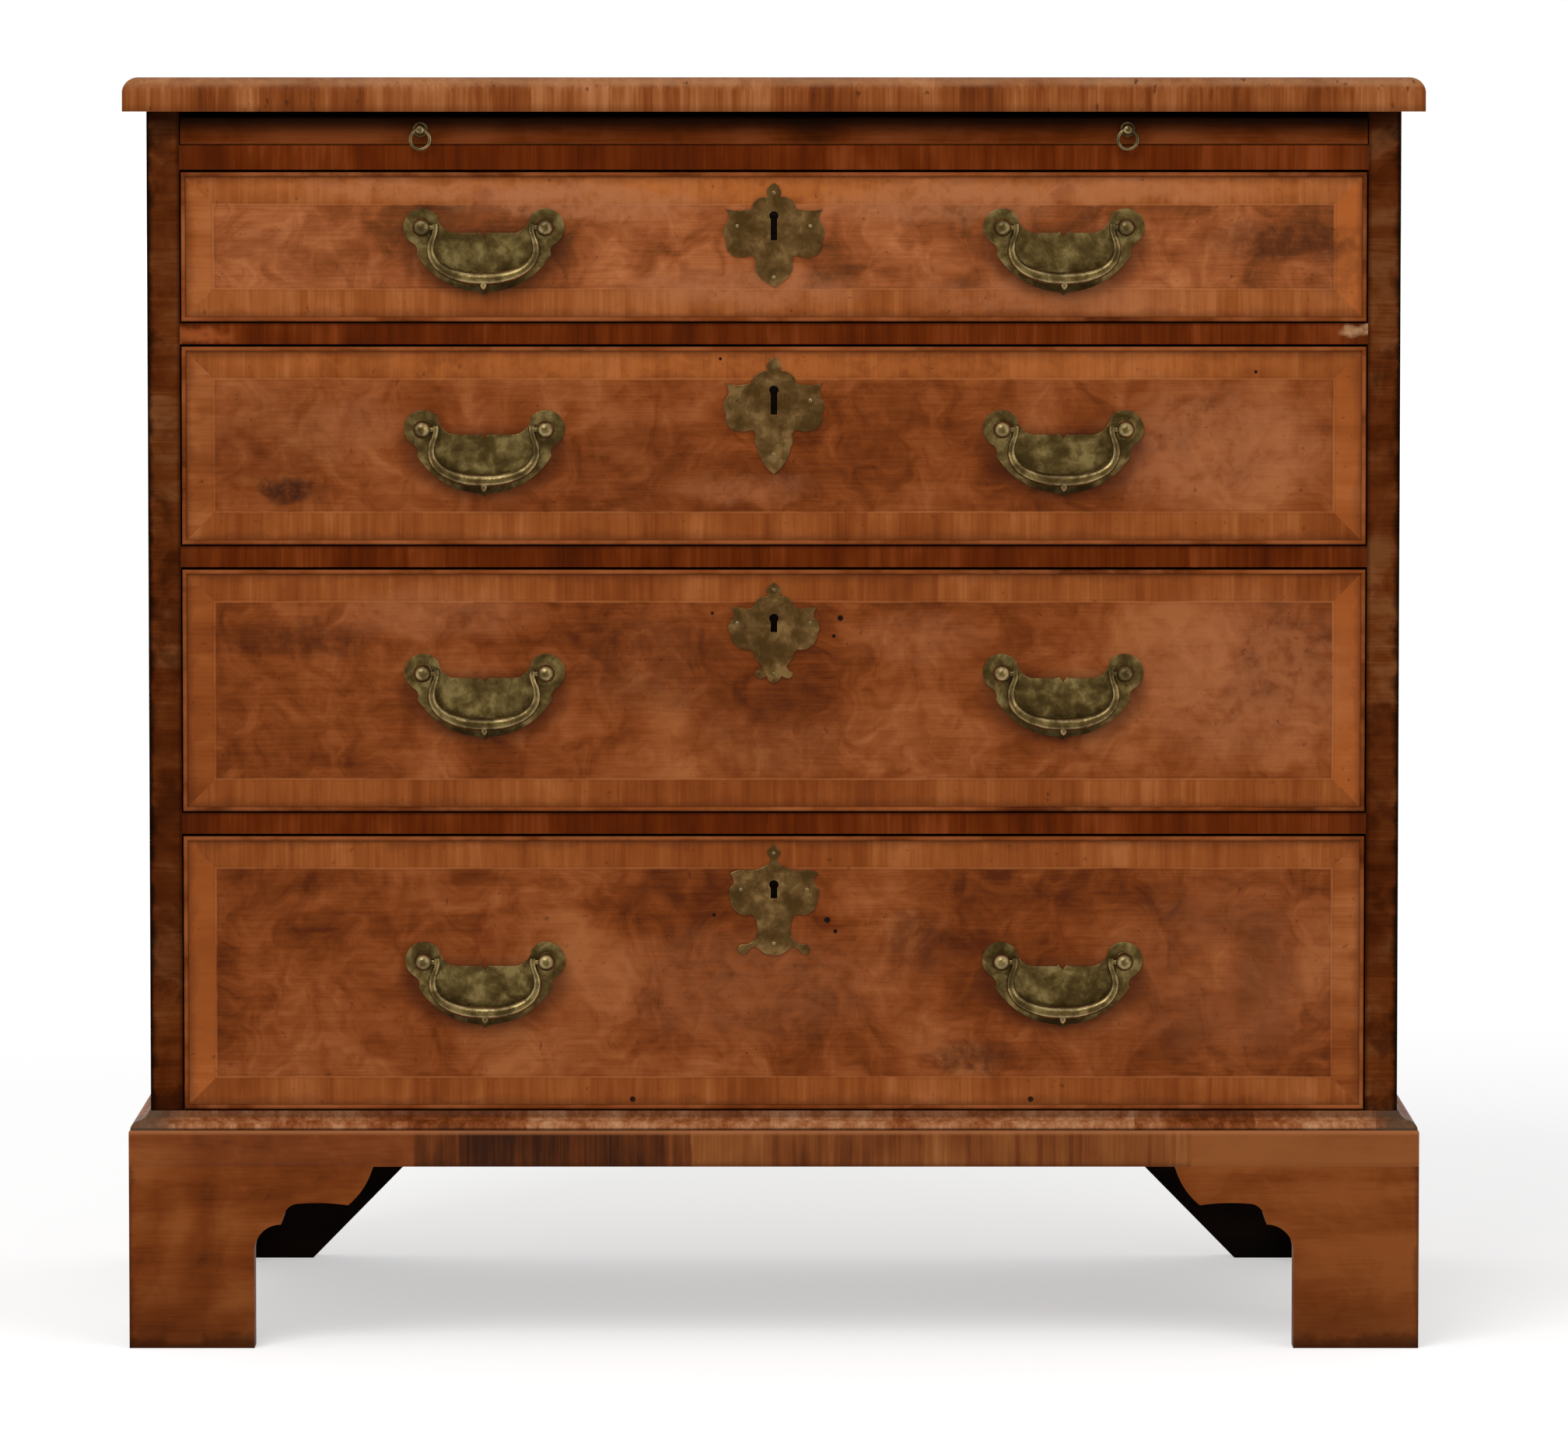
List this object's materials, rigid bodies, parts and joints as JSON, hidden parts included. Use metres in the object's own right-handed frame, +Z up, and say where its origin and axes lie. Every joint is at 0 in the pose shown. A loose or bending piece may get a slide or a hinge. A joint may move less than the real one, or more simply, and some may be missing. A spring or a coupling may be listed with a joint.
{
  "type": "bachelors chest",
  "caption": "Walnut chest with a pull-out brushing slide above graduated locking drawers, on a moulded plinth with bracket feet.",
  "frame": {"origin": "on the floor, under the centre of the overall bounding box", "axes": "+X to the right when facing the front, +Y from the front to the back, +Z up"},
  "size_m": [0.8, 0.464, 0.785],
  "materials": {
    "walnut": "waxed, figured and crossbanded",
    "oak_lining": "dry planed oak",
    "pine_carcase": "aged unfinished pine",
    "brass": "patinated",
    "lock_iron": "dull forged"
  },
  "bodies": {
    "case": {"back_boards": "pine_carcase", "base_moulding": "walnut", "case_bottom": "pine_carcase", "case_side_left": "walnut", "case_side_right": "walnut", "drawer_rails": "walnut", "drawer_stops": "oak_lining", "dust_boards": "pine_carcase", "foot_blocks": "pine_carcase", "front_left_foot": "walnut", "front_right_foot": "walnut", "plinth_frame": "walnut", "rear_left_foot": "walnut", "rear_right_foot": "walnut", "top_board": "walnut", "top_moulding": "walnut"},
    "slide": {"brushing_slide": "walnut", "slide_ring_posts": "brass"},
    "ring_pull_left": {"slide_ring_left": "brass"},
    "ring_pull_right": {"slide_ring_right": "brass"},
    "drawer_1": {"drawer_1_front": "walnut", "drawer_1_sides_and_back": "oak_lining", "drawer_1_bottom": "oak_lining", "drawer_1_cockbeads": "walnut", "drawer_1_escutcheon": "brass", "drawer_1_handle_mounts": "brass", "drawer_1_lock_case": "lock_iron"},
    "drawer_1_bolt": {"drawer_1_lock_bolt": "lock_iron"},
    "drawer_1_bail_left": {"drawer_1_bail_left": "brass"},
    "drawer_1_bail_right": {"drawer_1_bail_right": "brass"},
    "drawer_2": {"drawer_2_front": "walnut", "drawer_2_sides_and_back": "oak_lining", "drawer_2_bottom": "oak_lining", "drawer_2_cockbeads": "walnut", "drawer_2_escutcheon": "brass", "drawer_2_handle_mounts": "brass", "drawer_2_lock_case": "lock_iron"},
    "drawer_2_bolt": {"drawer_2_lock_bolt": "lock_iron"},
    "drawer_2_bail_left": {"drawer_2_bail_left": "brass"},
    "drawer_2_bail_right": {"drawer_2_bail_right": "brass"},
    "drawer_3": {"drawer_3_front": "walnut", "drawer_3_sides_and_back": "oak_lining", "drawer_3_bottom": "oak_lining", "drawer_3_cockbeads": "walnut", "drawer_3_escutcheon": "brass", "drawer_3_handle_mounts": "brass", "drawer_3_lock_case": "lock_iron"},
    "drawer_3_bolt": {"drawer_3_lock_bolt": "lock_iron"},
    "drawer_3_bail_left": {"drawer_3_bail_left": "brass"},
    "drawer_3_bail_right": {"drawer_3_bail_right": "brass"},
    "drawer_4": {"drawer_4_front": "walnut", "drawer_4_sides_and_back": "oak_lining", "drawer_4_bottom": "oak_lining", "drawer_4_cockbeads": "walnut", "drawer_4_escutcheon": "brass", "drawer_4_handle_mounts": "brass", "drawer_4_lock_case": "lock_iron"},
    "drawer_4_bolt": {"drawer_4_lock_bolt": "lock_iron"},
    "drawer_4_bail_left": {"drawer_4_bail_left": "brass"},
    "drawer_4_bail_right": {"drawer_4_bail_right": "brass"}
  },
  "joints": [
    {"name": "brushing_slide_pull", "type": "slide", "parent": "case", "child": "slide", "axis": [0, -1, 0], "range_m": [0, 0.25]},
    {"name": "slide_ring_left_swing", "type": "hinge", "parent": "slide", "child": "ring_pull_left", "pos_m": [-0.2175, -0.2195, 0.75295], "axis": [-1, 0, 0], "range_deg": [0, 110]},
    {"name": "slide_ring_right_swing", "type": "hinge", "parent": "slide", "child": "ring_pull_right", "pos_m": [0.2175, -0.2195, 0.75295], "axis": [-1, 0, 0], "range_deg": [0, 110]},
    {"name": "drawer_1_pull", "type": "slide", "parent": "case", "child": "drawer_1", "axis": [0, -1, 0], "range_m": [0, 0.33]},
    {"name": "drawer_1_bolt_throw", "type": "slide", "parent": "drawer_1", "child": "drawer_1_bolt", "axis": [0, 0, 1], "range_m": [0, 0.008]},
    {"name": "drawer_1_bail_left_swing", "type": "hinge", "parent": "drawer_1", "child": "drawer_1_bail_left", "pos_m": [-0.1785, -0.2265, 0.693], "axis": [-1, 0, 0], "range_deg": [0, 150]},
    {"name": "drawer_1_bail_right_swing", "type": "hinge", "parent": "drawer_1", "child": "drawer_1_bail_right", "pos_m": [0.1785, -0.2265, 0.693], "axis": [-1, 0, 0], "range_deg": [0, 150]},
    {"name": "drawer_2_pull", "type": "slide", "parent": "case", "child": "drawer_2", "axis": [0, -1, 0], "range_m": [0, 0.33]},
    {"name": "drawer_2_bolt_throw", "type": "slide", "parent": "drawer_2", "child": "drawer_2_bolt", "axis": [0, 0, 1], "range_m": [0, 0.008]},
    {"name": "drawer_2_bail_left_swing", "type": "hinge", "parent": "drawer_2", "child": "drawer_2_bail_left", "pos_m": [-0.1785, -0.2265, 0.5689], "axis": [-1, 0, 0], "range_deg": [0, 150]},
    {"name": "drawer_2_bail_right_swing", "type": "hinge", "parent": "drawer_2", "child": "drawer_2_bail_right", "pos_m": [0.1785, -0.2265, 0.5689], "axis": [-1, 0, 0], "range_deg": [0, 150]},
    {"name": "drawer_3_pull", "type": "slide", "parent": "case", "child": "drawer_3", "axis": [0, -1, 0], "range_m": [0, 0.33]},
    {"name": "drawer_3_bolt_throw", "type": "slide", "parent": "drawer_3", "child": "drawer_3_bolt", "axis": [0, 0, 1], "range_m": [0, 0.008]},
    {"name": "drawer_3_bail_left_swing", "type": "hinge", "parent": "drawer_3", "child": "drawer_3_bail_left", "pos_m": [-0.1785, -0.2265, 0.4185], "axis": [-1, 0, 0], "range_deg": [0, 150]},
    {"name": "drawer_3_bail_right_swing", "type": "hinge", "parent": "drawer_3", "child": "drawer_3_bail_right", "pos_m": [0.1785, -0.2265, 0.4185], "axis": [-1, 0, 0], "range_deg": [0, 150]},
    {"name": "drawer_4_pull", "type": "slide", "parent": "case", "child": "drawer_4", "axis": [0, -1, 0], "range_m": [0, 0.33]},
    {"name": "drawer_4_bolt_throw", "type": "slide", "parent": "drawer_4", "child": "drawer_4_bolt", "axis": [0, 0, 1], "range_m": [0, 0.008]},
    {"name": "drawer_4_bail_left_swing", "type": "hinge", "parent": "drawer_4", "child": "drawer_4_bail_left", "pos_m": [-0.1785, -0.2265, 0.24], "axis": [-1, 0, 0], "range_deg": [0, 150]},
    {"name": "drawer_4_bail_right_swing", "type": "hinge", "parent": "drawer_4", "child": "drawer_4_bail_right", "pos_m": [0.1785, -0.2265, 0.24], "axis": [-1, 0, 0], "range_deg": [0, 150]}
  ]
}
